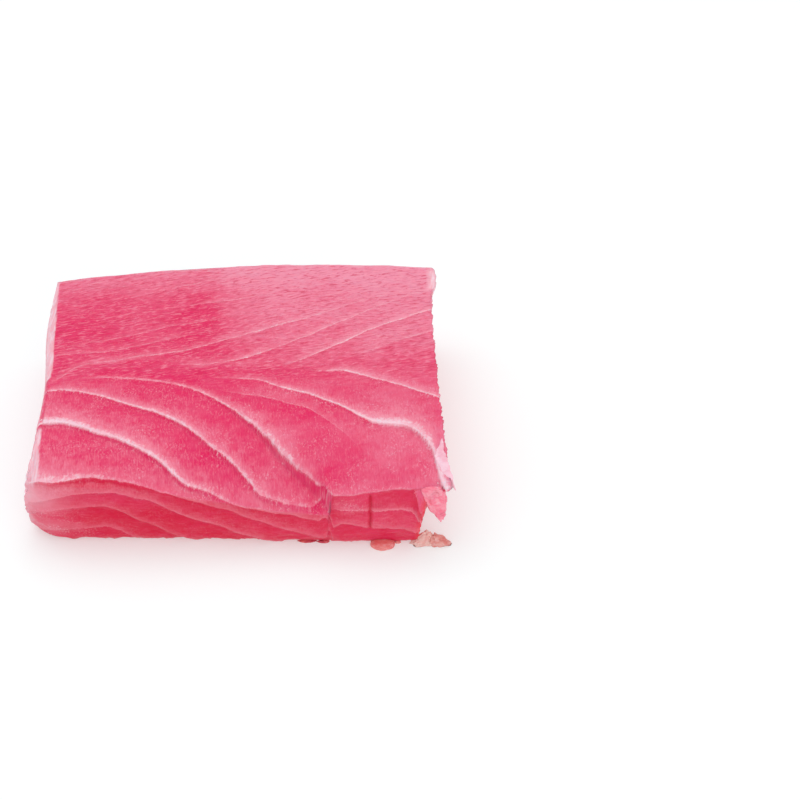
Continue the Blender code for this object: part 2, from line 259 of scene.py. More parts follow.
# Lumps of each torn piece: middle, half sizes, roughness, how much broader it is above and
# how far its top leans to the right.
TAG = (((54.8, -43.2, 19.4), (3.4, 1.6, 8.6), 0.3, 0.3, -1.6),
       ((54.6, -44.7, 20.0), (1.2, 0.5, 1.2), 0.4, 0.0, 0.3),
       ((57.0, -43.8, 12.6), (0.7, 0.5, 0.9), 0.3, 0.0, 0.0))
TAG_TOP = 22.0         # where the tag ends under the lip of the top
SCRAP_FOOT = 0.05      # how far the scraps' undersides stay off the board
# Dark shreds along the foot of the front face.
SHREDS = (((20.3, -41.4, 0.3), (2.4, 0.7, 0.3), 0.3, 0.0, 0.0),
          ((24.6, -41.7, 0.35), (1.6, 0.6, 0.3), 0.3, 0.0, 0.0))
TAN_SCRAP = (((51.9, -42.1, 1.6), (2.5, 1.5, 3.0), 0.3, -0.45, 1.0),)
RED_SCRAP = (((56.0, -42.2, 1.2), (2.5, 1.5, 2.2), 0.35, -0.3, -0.8),)
DROP_SCRAP = (((40.8, -42.9, 0.7), (3.4, 2.4, 1.3), 0.06, 0.0, 0.0),
              ((44.9, -41.9, 0.4), (0.8, 0.6, 0.5), 0.2, 0.0, 0.0))


# --- the rest of the flesh's surface ---
NEAR_FRONT = 3.0       # how far behind the front face its looks reach
FACE_FALLS_IN = 0.6    # how far that face draws in towards its lip, under the flakes' relief
CRACK_X = 37.6         # the crack that runs down the front face, along X
CRACK = (7.0, 20.0)    # heights between which it runs
CRACK_BREADTH = 0.4    # half its breadth
CRACK_DEPTH = 0.9
TEETH = 0.8            # how far the teeth of a torn edge stand out
RIM = 5.0              # how far down from the top they reach
NUB = 1.7              # how far a pale nub stands out at the back right corner
NUB_AT = 38.2          # its depth
NUB_SIZE = (5.2, 3.0)  # half its breadth along Y, and its height
# Pale strip along the left end of the top, (depth, breadth); its pale is partly painted glow of
# light through the thin edge.
LEFT_STRIP = ((-46, 0.3), (-43, 1.1), (-39.5, 2.6), (-36, 1.8), (-33, 0.8), (-28, 0.3),
              (-25, 0.0), (-9, 0.0), (-7, 0.7), (-4, 1.1), (9, 1.3), (16, 1.4), (22, 1.0),
              (34, 0.4), (40, 0.2))
STRIP_FALL = 0.55      # how steeply that pale strip, (depth, breadth), falls to the left
UNDERCUT = 2.4         # how much further the right front corner is cut away at its foot
UNDERCUT_OVER = (-32.0, -41.0)         # depths over which it is
LEFT_ROUGH = 0.28      # how rough the left cut end is
RIGHT_ROUGH = 0.25     # and the right one, below its rim
FOOT_ROUGH = 0.3       # and the torn foot of the front face
FACE_FROM = 14.0       # number of the septum where the darker flesh of the front starts
WALL_FROM = (10.8, 11.0)       # numbers over which it starts on the front face itself
TORN_FOOT = (-50.0, 10.0)      # where that foot is torn along X: middle and half breadth
TORN_TOP = (15.0, 8.0)         # heights over which it gets its full strength
SPECKS = (33.0, 6.0)           # the specked stretch of the front face, in the same way
SPECKED_FLAKE = (11.6, 0.4)    # and the flake that it lies on
# Blooms on the front face, pale partly as cut flesh and partly as painted glow of light through
# the thin left corner: x, half breadth, height, half height and strength.
BLOOMS = ((-55.0, 9.0, 17.5, 5.5, 1.0), (-50.0, 7.0, 6.0, 4.0, 0.35))
# Layers of unevenness: how much, how long along one way and along the other, and the seed.
UNEVEN_TOP = ((0.30, 9.0, 6.0, 1), (0.12, 3.0, 1.6, 2), (0.05, 1.6, 0.7, 3))
UNEVEN_FACE = ((0.22, 5.0, 3.0, 4), (0.10, 1.5, 1.2, 5))
UNEVEN_FOOT = ((0.45, 2.2, 2.2, 7), (0.25, 0.8, 0.8, 8))
UNEVEN_END = ((1.0, 1.4, 1.4, 13), (0.6, 0.7, 0.7, 14))

# --- the cage that the flesh is shaped from ---
CUTS = (236, 168, 44)  # its cuts along X, Y and Z
CROWDING = 0.22        # how much its rows crowd towards the front
LOWER_ROWS = 0.74      # share of the rows up a side that lie below the thick flake's edge
ROW_MARGIN = 1.0       # how far below that edge the upper rows start
ON_TOP = 0.999         # share of the cage's height from which a point is on the top
NUDGE = 0.2            # how far back the top is measured again, for its steepness
EDGE_ROWS = 0.93       # share of half the width from which a point is at a cut end


def smooth(t):
    """Ease from 0 to 1 as t goes from 0 to 1."""
    t = np.clip(t, 0.0, 1.0)
    return t * t * (3.0 - 2.0 * t)


def ramp(value, start, stop):
    """Ease from 0 to 1 as the value goes from start to stop, up or down."""
    return smooth((value - start) / (stop - start))


def near(value, middle, half, power=2):
    """A bell of height 1 about the middle; a higher power gives it a flatter top."""
    return np.exp(-((value - middle) / half) ** power)


def through(points, x):
    """Values at x of a smooth line through the points, held level beyond its ends."""
    at = np.array([point[0] for point in points], float)
    value = np.array([point[1] for point in points], float)
    slope = np.gradient(value, at)
    x = np.clip(x, at[0], at[-1])
    n = np.clip(np.searchsorted(at, x) - 1, 0, len(at) - 2)
    span = at[n + 1] - at[n]
    t = (x - at[n]) / span
    start = (1.0 + 2.0 * t) * (1.0 - t) ** 2 * value[n] + t * (1.0 - t) ** 2 * span * slope[n]
    end = t * t * (3.0 - 2.0 * t) * value[n + 1] + t * t * (t - 1.0) * span * slope[n + 1]
    return start + end


def between(points, x):
    """Values at x on straight runs between the points."""
    return np.interp(x, [point[0] for point in points], [point[1] for point in points])


def grain(u, v, seed):
    """Seeded smooth noise from -1 to 1, one lump to each unit of u and v."""
    lattice = np.random.default_rng(seed).uniform(-1.0, 1.0, (128, 128))
    i, j = np.floor(u).astype(int), np.floor(v).astype(int)
    a, b = smooth(u - i), smooth(v - j)
    i, j, k, m = i % 128, j % 128, (i + 1) % 128, (j + 1) % 128
    close = lattice[i, j] + (lattice[k, j] - lattice[i, j]) * a
    far = lattice[i, m] + (lattice[k, m] - lattice[i, m]) * a
    return close + (far - close) * b


def uneven(u, v, layers):
    """The sum of layers of grain over u and v."""
    return sum(amount * grain(u / along, v / beside, seed)
               for amount, along, beside, seed in layers)


# --- form of the block ---

def back_line(across):
    """Depth of the back edge; across runs from -1 at the left end to 1 at the right."""
    straight = BACK_LEFT + (BACK_RIGHT - BACK_LEFT) * (across + 1.0) / 2.0
    return straight + BACK_BOW * (1.0 - across ** 2)


def left_end(y, up):
    """X of the left cut end at depth y; up runs from 0 at the foot to 1 at the top."""
    waist = WAIST * near(y, WAIST_AT, WAIST_SPAN)
    top = -WIDTH / 2.0 + waist - CORNER_SWING * ramp(y, *SWING_OVER)
    lean = LEFT_LEAN + sum(swell * near(y, at, half) for at, half, swell in LEFT_BULGES)
    return top - lean * np.sqrt(np.clip(1.0 - up ** 2.2, 0.0, 1.0))


def right_end(y, up):
    """X of the right cut end at depth y."""
    swing = np.clip((BACK_RIGHT - y) / (BACK_RIGHT + FRONT + SPREAD_BEYOND), 0.0, 1.0)
    corner = ramp(y, *UNDERCUT_OVER)
    lean = RIGHT_LEAN + UNDERCUT * corner
    return WIDTH / 2.0 + FRONT_SPREAD * swing ** 2.2 - lean * (1.0 - up) ** (1.2 - corner)


def front_line(x, up):
    """Depth of the front face at x; up runs from 0 at the foot to 1 at the lip."""
    foot = -FRONT - FRONT_SKEW * ramp(x, *SKEW_OVER)
    face = foot - FRONT_OVERHANG * up ** 1.5 - FRONT_BELLY * np.sin(np.pi * up)
    inward = np.clip(1.0 - (x - left_end(-FRONT, up)) / CORNER, 0.0, 1.0)
    return face + CORNER * (1.0 - np.sqrt(1.0 - inward ** 2)) * (1.0 - 0.45 * up)


def rolled(back, crest, length, ahead):
    """Height of a top that leaves back for crest over length; ahead is what is left of it."""
    return back - (back - crest) * np.clip(1.0 - ahead / length, 0.0, 1.0) ** 2.4


def cliff_line(x):
    """Depth of the thick flake's edge; past its own line it runs on out of the front."""
    edge = SEPTA[THICK_FLAKE]["line"]
    leaves, at, slant = CLIFF_LEAVES
    return np.where(x < leaves, through(edge, x), at - slant * (x - leaves))


def top_height(x, y, front):
    """Height of the top at (x, y) behind a front face at depth front, and how much of it is
    the thick flake's."""
    back = HEIGHT + CROWN * (1.0 - (2.0 * x / WIDTH) ** 2) * ramp(y, *CROWN_OVER)
    back = back - SAG * ramp(y, *SAG_OVER)
    fall = ramp(x, *CREST_FALL)
    crest = CREST_LEFT + (CREST_MIDDLE - CREST_LEFT) * fall
    length = ROLL_LEFT + (ROLL_MIDDLE - ROLL_LEFT) * fall
    low = rolled(back, crest, length, y - front)
    thick_crest = CREST_RIGHT + CREST_CLIMB * ramp(x, *CLIMB_OVER)
    high = rolled(back, thick_crest, ROLL_RIGHT, y - front)
    behind = y - cliff_line(x)
    sheer = CLIFF + (CLIFF_RIGHT - CLIFF) * ramp(x, *CLIFF_TURN)
    share = 1.0 - (1.0 - sheer) * np.exp(-np.maximum(behind, 0.0) / CLIFF_REACH)
    rise = (high - low) * np.where(behind > 0.0, share, sheer * smooth(1.0 + behind / STEP))
    return low + rise, rise


# --- flakes ---

def septum_depths(x):
    """Depth of every septum at x, one row each, from the back to the front."""
    rows = []
    for n, septum in enumerate(SEPTA):
        stray = grain(x / 2.6, 0.37 + 1.7 * n, 11) + 0.5 * grain(x / 0.9, 0.61 + 2.3 * n, 12)
        line = through(septum["line"], x) + WOBBLE * stray
        rows.append(line if not rows else np.minimum(line, rows[-1] - LEAST_GAP))
    return np.array(rows)


def flake_numbers(lines, depth):
    """Number of the flake at each depth, and how many flakes there are to a millimetre.

    A septum's number is its place in SEPTA, and the number grows smoothly from one to the
    next, so a septum is wherever it is a whole number.
    """
    first = lines[:1] + OUTER_GAP * np.arange(6, 0, -1)[:, None]
    last = lines[-1:] - OUTER_GAP * np.arange(1, 7)[:, None]
    knots = np.concatenate([first, lines, last])
    gaps = knots[:-1] - knots[1:]
    place = np.clip((knots > depth).sum(axis=0) - 1, 1, len(gaps) - 2)
    column = np.arange(len(depth))
    gap = gaps[place, column]
    t = np.clip((knots[place, column] - depth) / gap, 0.0, 1.0)
    start = 2.0 * gap / (gap + gaps[place - 1, column])
    end = 2.0 * gap / (gap + gaps[place + 1, column])
    share = (3.0 * t ** 2 - 2.0 * t ** 3) + (t - 2.0 * t ** 2 + t ** 3) * start
    share = share + (t ** 3 - t ** 2) * end
    rate = 6.0 * (t - t ** 2) + (1.0 - 4.0 * t + 3.0 * t ** 2) * start
    rate = rate + (3.0 * t ** 2 - 2.0 * t) * end
    return place - 6.0 + share, rate / gap


def of_septa(key, x, number, usual=0.0):
    """What the septa's key says at x, blended between the septa on either side."""
    none = ((0.0, usual),)
    rows = np.array([between(septum.get(key, none), x) for septum in SEPTA])
    place = np.clip(number, 0.0, len(SEPTA) - 1.001)
    low = place.astype(int)
    column = np.arange(len(x))
    return rows[low, column] + (rows[low + 1, column] - rows[low, column]) * (place - low)


def swelling(beyond, reach):
    """Full height at a lip, easing away over the reach behind it, with a step in front."""
    behind = np.maximum(beyond, 0.0) / reach
    return np.where(beyond > 0.0, np.exp(-behind ** 1.3), smooth(1.0 + beyond / STEP))


def relief(lines, x, depth):
    """How far the flakes stand out; a lip with a negative step is a ledge instead."""
    height = np.zeros_like(x)
    for line, septum in zip(lines, SEPTA):
        if "step" in septum:
            step = between(septum["step"], x)
            height += np.abs(step) * swelling(np.sign(step) * (depth - line), septum["reach"])
    return height


def paleness_and_sheen(x, depth):
    """How pale the flesh is, from 0 where it is deepest to 1 where it is palest. Towards the back
    and the right it is paler as painted sheen of the light from above and behind.
    """
    # The rise towards the right of the middle and towards the back is painted sheen of the light
    # from above and behind.
    pale = 0.10 + 0.36 * ramp(x, -13.0, 1.0) * ramp(depth, -4.0, 12.0) + 0.12 * ramp(x, 0.0, 50.0)
    pale += 0.18 * ramp(depth, 10.0, 28.0) + 0.34 * ramp(depth, 27.0, 39.0)
    for at_x, at_depth, breadth, length, change in PATCHES:
        pale += change * near(x, at_x, breadth) * near(depth, at_depth, length)
    return pale


# --- the flesh ---

def lean(y):
    """How steeply the septa cross the sides at depth y."""
    return LEAN + sum(change * ramp(y, start, stop) for change, start, stop in LEAN_CHANGES)


def spread(across, deep, up, end_up):
    """X and depth of points of the unit cage, and the depth of the front there.

    Each lies at a share of the height, up as the front sees it and end_up as the ends do.
    The ends depend on the depth and the front on the width, so the two settle in turns.
    """
    x = across * WIDTH / 2.0
    share = (across + 1.0) / 2.0
    for _ in range(3):
        front = front_line(x, up)
        y = front + (back_line(across) - front) * (deep + 1.0) / 2.0
        left = left_end(y, end_up)
        right = right_end(y, 1.0)
        x = left + (right - left) * share - (right - right_end(y, end_up)) * share ** 9
    return x, y, front


def strip_breadth(x, y):
    """How far a point lies inside the pale strip along the left end."""
    breadth = through(LEFT_STRIP, y)
    return np.maximum(left_end(y, 1.0) + breadth - x, 0.0) * smooth(breadth / 0.4)


def surface(x, y, front):
    """Height of the finished top behind a front face at depth front, what it would be without
    its relief, and how much of that is the thick flake's."""
    top, rise = top_height(x, y, front)
    standing = relief(septum_depths(x - MIDDLE[0]), x - MIDDLE[0], y - MIDDLE[1])
    to_back = back_line(2.0 * x / WIDTH) - y
    rounding = BACK_ROUND * np.clip(1.0 - to_back / (3.0 * BACK_ROUND), 0.0, 1.0) ** 2
    fall = STRIP_FALL * strip_breadth(x, y)
    return top + standing + uneven(x, y, UNEVEN_TOP) - rounding - fall, top, rise


def lay_out(unit):
    """Points of the unit cage laid over the smooth block, with where they are on it."""
    at = SimpleNamespace(across=2.0 * unit[:, 0], up=unit[:, 2] + 0.5)
    deep = 2.0 * unit[:, 1]
    deep = deep - CROWDING * (1.0 - deep ** 2)
    lip_x, lip_y, lip_front = spread(at.across, deep, 1.0, 1.0)
    on_top, top, at.rise = surface(lip_x, lip_y, lip_front)
    at.steepness = (surface(lip_x, lip_y + NUDGE, lip_front)[0] - on_top) / NUDGE
    # the upper rows hold the thick flake's share of the height, so the rest lie level
    below = top - at.rise - ROW_MARGIN
    at.z = np.where(at.up < LOWER_ROWS, below * at.up / LOWER_ROWS,
                    below + (on_top - below) * (at.up - LOWER_ROWS) / (1.0 - LOWER_ROWS))
    at.below_top = at.up < ON_TOP
    lip = top - at.rise * (1.0 - ramp(at.across * WIDTH / 2.0, *LIP_JOINS))
    at.high = np.where(at.below_top, np.clip(at.z / lip, 0.0, 1.0), 1.0)
    tall = np.where(at.below_top, np.clip(at.z / top, 0.0, 1.0), 1.0)
    at.x, at.y, front = spread(at.across, deep, at.high, tall)
    at.drop = np.maximum(on_top - at.z, 0.0)
    at.near_front = np.clip(1.0 - (at.y - front) / NEAR_FRONT, 0.0, 1.0)
    at.strip = strip_breadth(at.x, at.y)
    return at


def number_flakes(at):
    """Which flake each point is on, and how far that flake stands out there."""
    held = np.clip(at.drop - LEDGE_FROM * smooth(at.rise / 3.0), 0.0, LEDGE_SHARE * at.rise)
    at.on_ledge = (held > 0.0) & (held < LEDGE_SHARE * at.rise)
    at.depth = at.y - lean(at.y) * (at.drop - LEDGE * held) - MIDDLE[1]
    lines = septum_depths(at.x - MIDDLE[0])
    at.number, at.rate = flake_numbers(lines, at.depth)
    at.standing = relief(lines, at.x - MIDDLE[0], at.depth)


def carve_front(at):
    """Brings the flakes' relief, an uneven skin and the crack to the front face."""
    skin = uneven(at.x, at.z, UNEVEN_FACE)
    stray = 0.35 * grain(at.z / 2.0, 0.5, 6)
    crack = near(at.x, CRACK_X + stray, CRACK_BREADTH)
    crack = crack * smooth((at.z - CRACK[0]) / 2.0) * smooth(CRACK[1] - at.z)
    at.crack = crack * at.near_front * at.below_top
    drawn = (at.standing - FACE_FALLS_IN * at.high + skin) * at.near_front
    at.y = at.y - drawn + CRACK_DEPTH * at.crack


def curl_foot(at):
    """Lifts the front left corner off the board and rounds the foot raggedly."""
    corner = near(at.x, -WIDTH / 2.0 - 5.0, CORNER) * near(at.y, -FRONT, 1.5 * CORNER)
    at.z = at.z + CORNER_LIFT * corner * (1.0 - at.up) ** 1.5
    foot = np.clip(1.0 - at.z / (2.0 * FOOT_ROUND), 0.0, 1.0) ** 2
    ragged = (1.0 + uneven(at.x, at.y, UNEVEN_FOOT)) * foot * FOOT_ROUND
    at.x = at.x * (1.0 - ragged / (WIDTH / 2.0))
    at.y = at.y * (1.0 - ragged / FRONT)


def tear_ends(at):
    """Roughens the cut ends, with teeth along the right rim and a nub at its back."""
    at.right = ramp(at.across, EDGE_ROWS, 1.0)
    at.left = ramp(-at.across, EDGE_ROWS, 1.0)
    teeth = np.abs(grain(at.y / 1.3, 0.3, 9)) + 0.5 * grain(at.y / 0.7, 0.7 + at.z / 3.0, 10)
    rim = 1.0 - smooth(at.drop / RIM)
    at.x = at.x + TEETH * teeth * rim * at.right * ramp(at.across, 0.985, 1.0)
    at.rough = uneven(at.y, at.z, UNEVEN_END)
    at.x = at.x - LEFT_ROUGH * at.rough * at.left * (0.4 + 0.6 * ramp(at.y, -20.0, -30.0))
    at.x = at.x + RIGHT_ROUGH * at.rough * at.right * (1.0 - rim)
    breadth, height = NUB_SIZE
    nub = near(at.y, NUB_AT, breadth, power=4) * near(at.drop, 1.0, height, power=4)
    at.nub = nub * ramp(at.across, 0.972, 0.986)
    at.x = at.x + NUB * at.nub


def tear_face(at):
    """Roughens the foot of the front face at the left; notes where it is torn or in bloom."""
    foot = at.near_front * near(at.x, *TORN_FOOT) * ramp(at.z, *TORN_TOP)
    at.y = at.y - FOOT_ROUGH * at.rough * foot
    specks = at.near_front * near(at.x, *SPECKS) * near(at.number, *SPECKED_FLAKE)
    at.torn = np.maximum(foot, 0.7 * specks * smooth(at.drop))
    at.bloom = at.near_front * np.max([strength * near(at.x, x, breadth) * near(at.z, z, height)
                                       for x, breadth, z, height, strength in BLOOMS], axis=0)


def looks_of(at):
    """What the material reads at each point."""
    x = at.x - MIDDLE[0]
    white = of_septa("white", x, at.number)
    step = np.abs(of_septa("step", x, at.number))
    crossing = np.maximum(np.abs(lean(at.y)), LEAST_LEAN)
    crossing = crossing * np.where(at.on_ledge, 1.0 - LEDGE, 1.0)
    level = 1.0 / np.sqrt(1.0 + at.steepness ** 2)
    return {
        "flake": at.number,
        "pale": paleness_and_sheen(at.x, at.depth),
        "rate": at.rate * np.where(at.drop > 0.0, crossing, level),
        "white": white,
        "thick": of_septa("thick", at.x, at.number),
        "wall": at.near_front * smooth(at.drop / 0.7) * ramp(at.number, *WALL_FROM),
        "left": at.left * smooth((at.drop - 0.6) / 3.0),
        "right": at.right * smooth(at.drop / 2.0),
        "crack": at.crack,
        "strip": smooth(at.strip / 0.5) * (1.0 - smooth(at.drop / 3.0)),
        "nub": smooth((at.nub - 0.3) / 0.4),
        "bloom": at.bloom,
        "torn": at.torn,
        # Strength of the painted shade in front of each lip, and how far it reaches.
        "shade": 0.14 * white + 0.28 * step,
        "shade_reach": of_septa("shade", x, at.number, 2.0),
        "lay": np.stack([at.x, at.depth, at.drop], axis=1),
    }


def shaped(unit):
    """Points of the unit cage moved onto the steak, in millimetres, and their looks."""
    at = lay_out(unit)
    for step in (number_flakes, carve_front, curl_foot, tear_ends, tear_face):
        step(at)
    return np.stack([at.x, at.y, at.z], axis=1), looks_of(at)


def placed(points):
    """Points of the form, in millimetres, moved into the solid's box, in metres."""
    scale = np.array(BLOCK_SIZE[:]) / np.array(FORM_SIZE)
    middle = np.array([MIDDLE[0], MIDDLE[1], 0.0])
    base = np.array([(BLOCK_LOW.x + BLOCK_HIGH.x) / 2.0, (BLOCK_LOW.y + BLOCK_HIGH.y) / 2.0,
                     BLOCK_LOW.z])
    return (points - middle) * scale + base


def move(mesh, points):
    """Moves the mesh's points to these places of the form."""
    for vert, place in zip(mesh.verts, placed(points)):
        vert.co = place


def cage(cuts):
    """A unit box cut into an even grid on every side, with one face where it lies flat."""
    mesh = bmesh.new()
    bmesh.ops.create_cube(mesh, size=1.0)
    for axis, count in enumerate(cuts):
        across = [edge for edge in mesh.edges
                  if abs(edge.verts[0].co[axis] - edge.verts[1].co[axis]) > 0.5]
        bmesh.ops.subdivide_edges(mesh, edges=across, cuts=count)
    points, _ = shaped(np.array([vert.co[:] for vert in mesh.verts]))
    lying = points[:, 2] < 0.01
    mesh.verts.index_update()
    flat = [face for face in mesh.faces if all(lying[vert.index] for vert in face.verts)]
    bmesh.ops.dissolve_faces(mesh, faces=flat, use_verts=True)
    bmesh.ops.recalc_face_normals(mesh, faces=mesh.faces)
    return mesh


def finished(name, mesh, material):
    """A piece made of the bmesh, smooth and riding on the block's body."""
    data = bpy.data.meshes.new(name)
    mesh.to_mesh(data)
    mesh.free()
    data.shade_smooth()
    data.materials.append(material)
    piece = bpy.data.objects.new(name, data)
    bpy.context.scene.collection.objects.link(piece)
    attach(piece, "root")
    return piece


def add_looks(data, looks):
    """Stores what the material reads, one value or vector for each point."""
    for name, values in looks.items():
        kind, key = ("FLOAT_VECTOR", "vector") if values.ndim == 2 else ("FLOAT", "value")
        attribute = data.attributes.new(name, kind, "POINT")
        attribute.data.foreach_set(key, values.astype(np.float32).ravel())


def build_flesh(look):
    """The block of flesh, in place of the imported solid."""
    mesh = cage((look.cuts_across, look.cuts_deep, look.cuts_up))
    points, looks = shaped(np.array([vert.co[:] for vert in mesh.verts]))
    move(mesh, points)
    piece = finished("flesh_block", mesh, flesh_material(look))
    add_looks(piece.data, looks)
    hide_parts("tuna_steak")
    return piece


# --- materials ---

# The looks that the mesh stores, one value for each point.
STORED = ("flake", "rate", "white", "thick", "wall", "left", "right", "strip", "pale", "crack",
          "nub", "bloom", "torn", "shade", "shade_reach")
# Size of the strands (mm), turn and coverage: at the back, across the flakes in front, and in
# the layers of the front face.
FIBRES = (((2.3, 0.52, 0.7), 0.24, 0.6), ((0.36, 1.7, 1.7), 0.1, 0.5),
          ((3.2, 0.7, 0.7), 0.05, 0.5))
TISSUE_LIGHT = (0.93, 0.66, 0.73)      # the pale strands in torn tissue
TISSUE_DARK = (0.66, 0.06, 0.12)       # and the dark ones


class Wiring:
    """Adds nodes to a tree in short calls, each of which gives the new node's socket."""

    def __init__(self, tree):
        self.tree = tree
        self.count = 0

    def node(self, kind, output=0, values=None, **settings):
        node = self.tree.nodes.new("ShaderNode" + kind)
        node.location = (190.0 * (self.count // 8) - 2600.0, 500.0 - 190.0 * (self.count % 8))
        self.count += 1
        for name, value in settings.items():
            setattr(node, name, value)
        self.feed(node, values or {})
        return node.outputs[output]

    def feed(self, node, values):
        """Links or sets the node's inputs; a colour is given without its alpha."""
        for name, value in values.items():
            socket = node.inputs[name]
            if isinstance(value, bpy.types.NodeSocket):
                self.tree.links.new(value, socket)
            elif socket.type == "RGBA":
                socket.default_value = (*value, 1.0)
            else:
                socket.default_value = value

    def math(self, operation, *terms):
        return self.node("Math", values=dict(enumerate(terms)), operation=operation)

    def times(self, *factors):
        return reduce(partial(self.math, "MULTIPLY"), factors)

    def plus(self, *terms):
        return reduce(partial(self.math, "ADD"), terms)

    def rest(self, value, whole=1.0):
        """What the value leaves of the whole."""
        return self.math("SUBTRACT", whole, value)

    def larger(self, first, second):
        return self.math("MAXIMUM", first, second)

    def about(self, value, middle, amount):
        """How far the value is above its middle, times the amount."""
        return self.times(self.math("SUBTRACT", value, middle), amount)

    def ease(self, value, low, high, start=0.0, end=1.0):
        """Eases from start to end as the value goes from low to high."""
        return self.node("MapRange", interpolation_type="SMOOTHSTEP",
                         values={"Value": value, 1: low, 2: high, 3: start, 4: end})

    def fading(self, distance, reach):
        """1 at no distance, fading away over the reach."""
        return self.math("EXPONENT", self.times(self.math("DIVIDE", distance, reach), -1.0))

    def mix(self, share, first, second):
        return self.node("Mix", output=2, data_type="RGBA",
                         values={0: share, 6: first, 7: second})

    def attribute(self, name, output="Fac"):
        return self.node("Attribute", output=output, attribute_name=name)

    def stretched(self, vector, size, turn=0.0):
        """The vector for a pattern whose marks have this size and lie turned to the left."""
        return self.node("Mapping", vector_type="TEXTURE",
                         values={"Vector": vector, "Scale": size, "Rotation": (0.0, 0.0, turn)})

    def noise(self, vector, detail, roughness, warp=0.0, scale=1.0):
        return self.node("TexNoise", values={"Vector": vector, "Scale": scale, "Detail": detail,
                                             "Roughness": roughness, "Distortion": warp})

    def marks(self, vector, size, turn, detail, roughness, warp=0.0):
        """Noise whose marks have this size along each axis."""
        return self.noise(self.stretched(vector, size, turn), detail, roughness, warp)

    def bump(self, height, distance):
        return self.node("Bump", values={"Height": height, "Distance": distance, "Strength": 1.0})


def new_material(name):
    material = bpy.data.materials.new(name)
    material.use_nodes = True
    return material, Wiring(material.node_tree), material.node_tree.nodes["Principled BSDF"]


def strands_group():
    """Fine strands in a surface: thin light ones, thin dark ones, and their height."""
    group = bpy.data.node_groups.get("Strands")
    if group:
        return group
    group = bpy.data.node_groups.new("Strands", "ShaderNodeTree")
    group.interface.new_socket("Vector", in_out="INPUT", socket_type="NodeSocketVector")
    group.interface.new_socket("Coverage", in_out="INPUT", socket_type="NodeSocketFloat")
    for name in ("Light", "Dark", "Height"):
        group.interface.new_socket(name, in_out="OUTPUT", socket_type="NodeSocketFloat")
    wire = Wiring(group)
    given = group.nodes.new("NodeGroupInput")
    given.location = (-2900.0, 0.0)
    result = group.nodes.new("NodeGroupOutput")
    result.location = (-1200.0, 0.0)
    fine = wire.noise(given.outputs["Vector"], 2.0, 0.6, 0.5)
    coarse = wire.noise(given.outputs["Vector"], 1.0, 0.5, scale=0.33)
    height = wire.plus(wire.times(fine, 0.8), wire.times(coarse, 0.2))
    bound = wire.rest(wire.times(given.outputs["Coverage"], 0.16), 0.6)
    light = wire.ease(height, bound, wire.plus(bound, 0.15))
    dark = wire.ease(wire.rest(height), bound, wire.plus(bound, 0.15))
    wire.feed(result, {"Light": light, "Dark": dark, "Height": height})
    return group


def strands(wire, vector, size, turn, coverage):
    """Strands of this size, turned to the left: their light, dark and height."""
    light = wire.node("Group", node_tree=strands_group(),
                      values={"Vector": wire.stretched(vector, size, turn),
                              "Coverage": coverage})
    return light, light.node.outputs["Dark"], light.node.outputs["Height"]


def flake_sockets(wire):
    """The looks that the mesh stores, with the distances to the lips on either side."""
    at = SimpleNamespace(**{name: wire.attribute(name) for name in STORED})
    at.lay = wire.attribute("lay", "Vector")
    darker = wire.ease(at.flake, FACE_FROM - 0.03, FACE_FROM + 0.03)
    at.wall = wire.larger(at.wall, darker)
    at.top = wire.rest(wire.larger(at.wall, wire.larger(at.left, at.right)))
    depth = wire.node("SeparateXYZ", output=1, values={"Vector": at.lay})
    at.front = wire.ease(depth, -2.0, -14.0)
    # millimetres to the lip in front and from the lip behind, along a slightly torn line
    torn_line = wire.marks(at.lay, (0.7, 0.7, 0.7), 0.0, 2.0, 0.6)
    strayed = wire.times(wire.about(torn_line, 0.5, 0.8), at.rate)
    share = wire.math("FRACT", wire.plus(at.flake, strayed))
    at.ahead = wire.math("DIVIDE", wire.rest(share), at.rate)
    at.behind = wire.math("DIVIDE", share, at.rate)
    at.mottle = wire.marks(at.lay, (4.0, 1.7, 2.0), 0.25, 3.0, 0.6)
    at.blotch = wire.marks(at.lay, (2.6, 2.6, 2.6), 0.0, 3.0, 0.65, 0.4)
    return at


def add_ground(wire, look, at):
    """Deeper and paler flesh in large patches, paler towards the back as painted sheen, and the
    colours of the face and the ends.
    """
    patches = wire.marks(at.lay, (14.0, 7.0, 7.0), 0.35, 2.0, 0.5)
    # at.pale carries the painted sheen towards the back as well as the flesh's own deeper and
    # paler tone.
    pale = wire.plus(at.pale, wire.about(patches, 0.5, 0.6), wire.about(at.mottle, 0.5, 0.36))
    color = wire.mix(pale, look.deep, look.pale)
    face = wire.mix(wire.plus(wire.times(at.pale, 0.9), wire.about(at.mottle, 0.42, 1.0)),
                    look.wall, look.face)
    # The left end and the blooms take the pale end colour: partly cut flesh, partly painted glow
    # of light through the thin edges.
    for share, patch in ((at.wall, face), (wire.times(at.left, 0.75), look.end),
                         (wire.times(at.right, 0.8), look.raw),
                         (wire.times(at.bloom, 0.85), look.end)):
        color = wire.mix(share, color, patch)
    return color


def add_fibres(wire, look, at, color):
    """Muscle fibres: short, nearly level strokes behind, a silk across the flakes in front."""
    shares = (wire.times(wire.rest(at.front), at.top), wire.times(at.front, at.top, 0.4),
              wire.times(at.wall, 0.2))
    kinds = [strands(wire, at.lay, *kind) for kind in FIBRES]
    lighter, darker, height = (wire.plus(*map(wire.times, kind, shares)) for kind in zip(*kinds))
    at.silk = kinds[1][2]
    # The dark strokes are partly darker fibres and partly painted shade in the gaps between them.
    color = wire.mix(wire.times(darker, 0.62 * look.fibre), color, look.dark)
    return wire.mix(wire.times(lighter, 0.42 * look.fibre), color, look.veil), height


